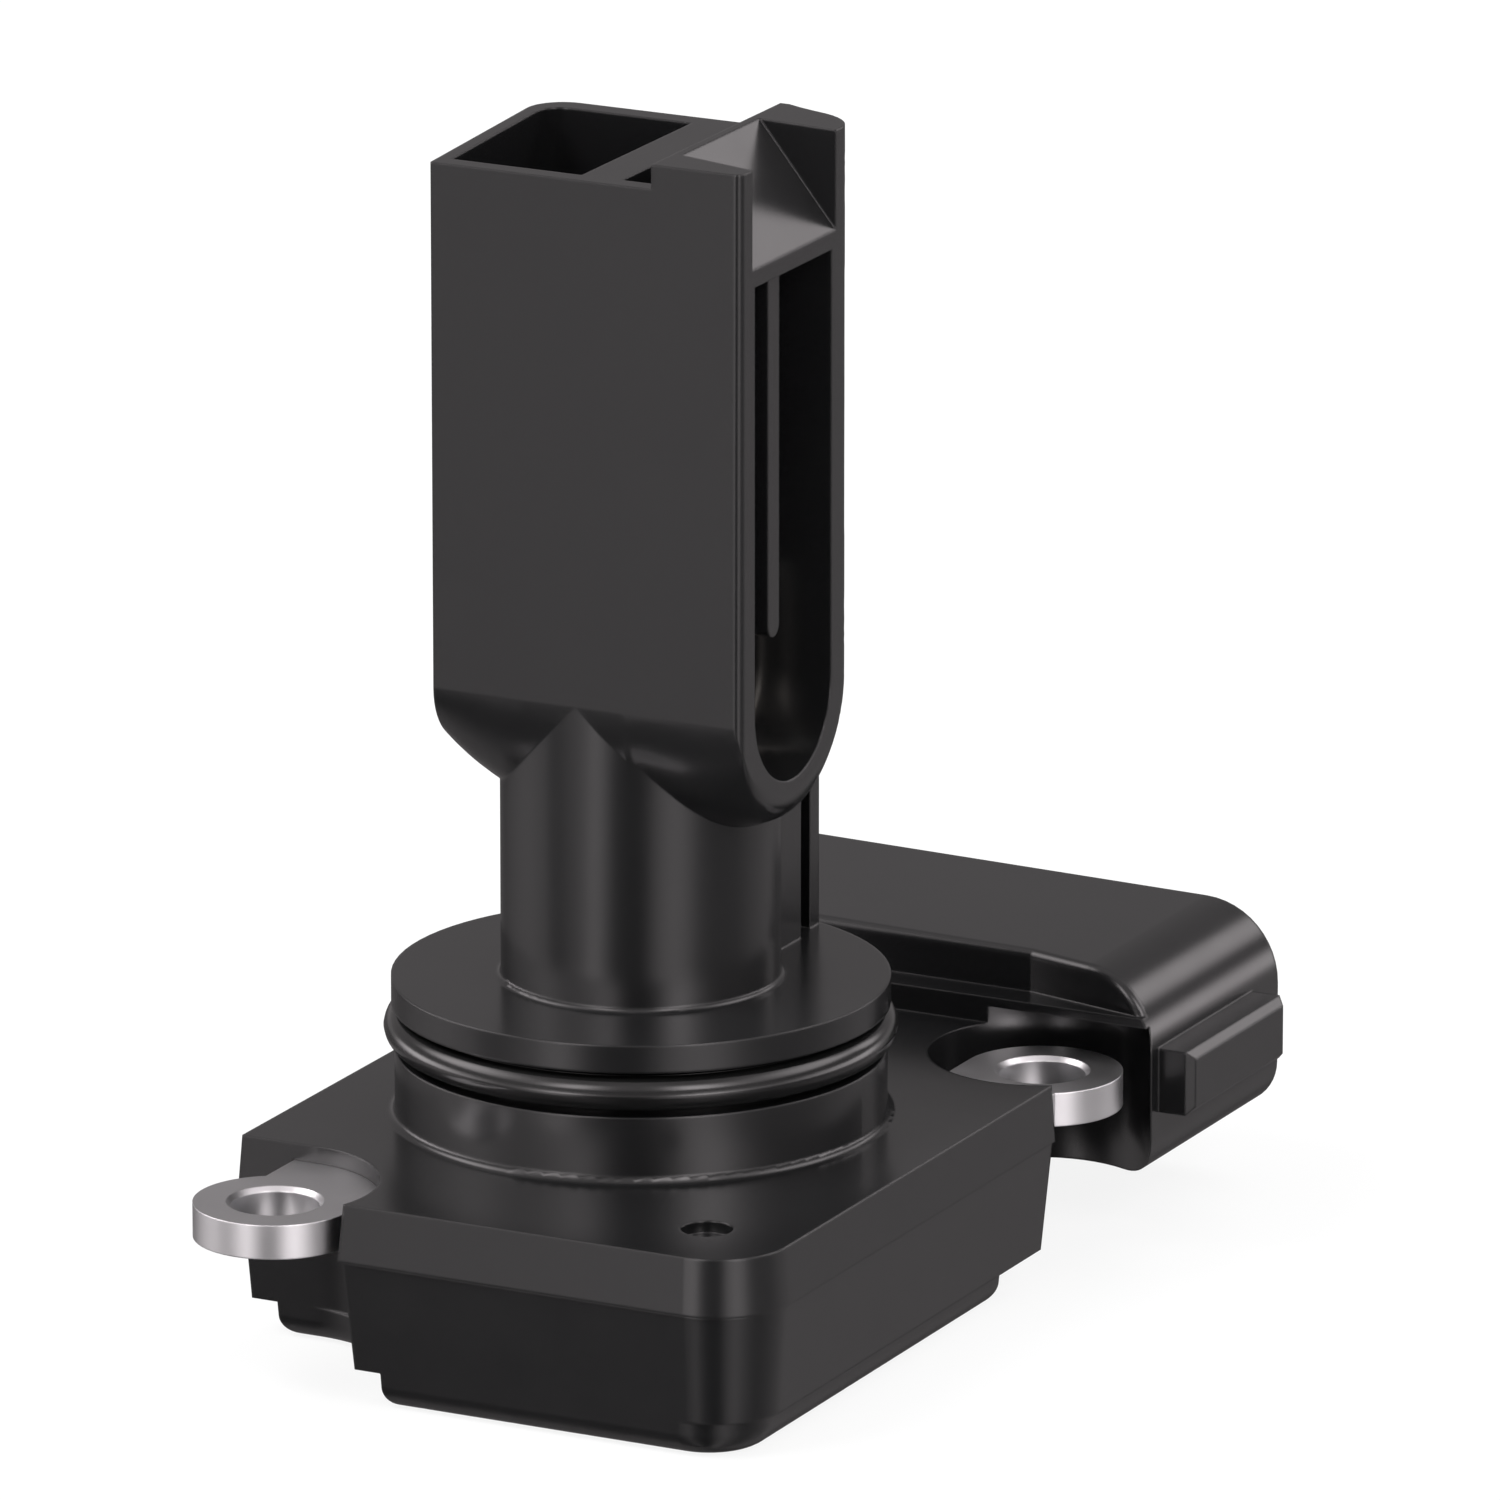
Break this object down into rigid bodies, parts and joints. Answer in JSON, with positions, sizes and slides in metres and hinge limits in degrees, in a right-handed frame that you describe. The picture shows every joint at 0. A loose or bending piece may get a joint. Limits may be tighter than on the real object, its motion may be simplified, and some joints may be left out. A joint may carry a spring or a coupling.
{
  "type": "mass airflow sensor",
  "caption": "Plug-in airflow sensor: a moulded bypass duct on a sealed spigot, a base with two metal fixing ears and a deep cover, and a side connector.",
  "frame": {"origin": "centre of the spigot lip's end face, on the spigot's axis", "axes": "+Z along the spigot into the air duct, towards the bypass duct's tip; +X towards the open inlet slot; +Y towards the electrical connector"},
  "size_m": [0.0451, 0.0746, 0.0765],
  "materials": {
    "housing": "black moulded plastic, satin to semi-gloss",
    "cover": "black moulded plastic, semi-gloss",
    "sealant": "cured grey adhesive, matt",
    "ring": "black rubber with a slight sheen",
    "plate": "stamped, satin",
    "adhesive": "thin pale thermal adhesive",
    "board": "green circuit board",
    "package": "moulded chip package",
    "ceramic": "fired ceramic",
    "resistor": "dark chip resistor",
    "terminal": "tin-plated brass, satin",
    "lead_wire": "drawn wire, bright",
    "carrier": "black moulded plastic",
    "post": "plated pin, satin",
    "element": "glazed ceramic element",
    "bead": "glass-coated bead"
  },
  "bodies": {
    "root": {"housing": "housing", "cover": "cover", "cover_sealant": "sealant", "o_ring": "ring", "mounting_plate": "plate", "board_adhesive": "adhesive", "circuit_board": "board", "control_chip": "package", "power_transistor": "package", "ceramic_capacitors": "ceramic", "chip_resistors": "resistor", "bonding_leads": "lead_wire", "pin_carrier": "carrier", "hot_wire_element": "element", "cold_wire_element": "element", "thermistor_bead": "bead", "thermistor_leads": "post", "connector_terminal_1": "terminal", "connector_terminal_2": "terminal", "connector_terminal_3": "terminal", "connector_terminal_4": "terminal", "connector_terminal_5": "terminal", "sensing_post_1": "post", "sensing_post_2": "post", "sensing_post_3": "post", "sensing_post_4": "post"}
  },
  "joints": []
}
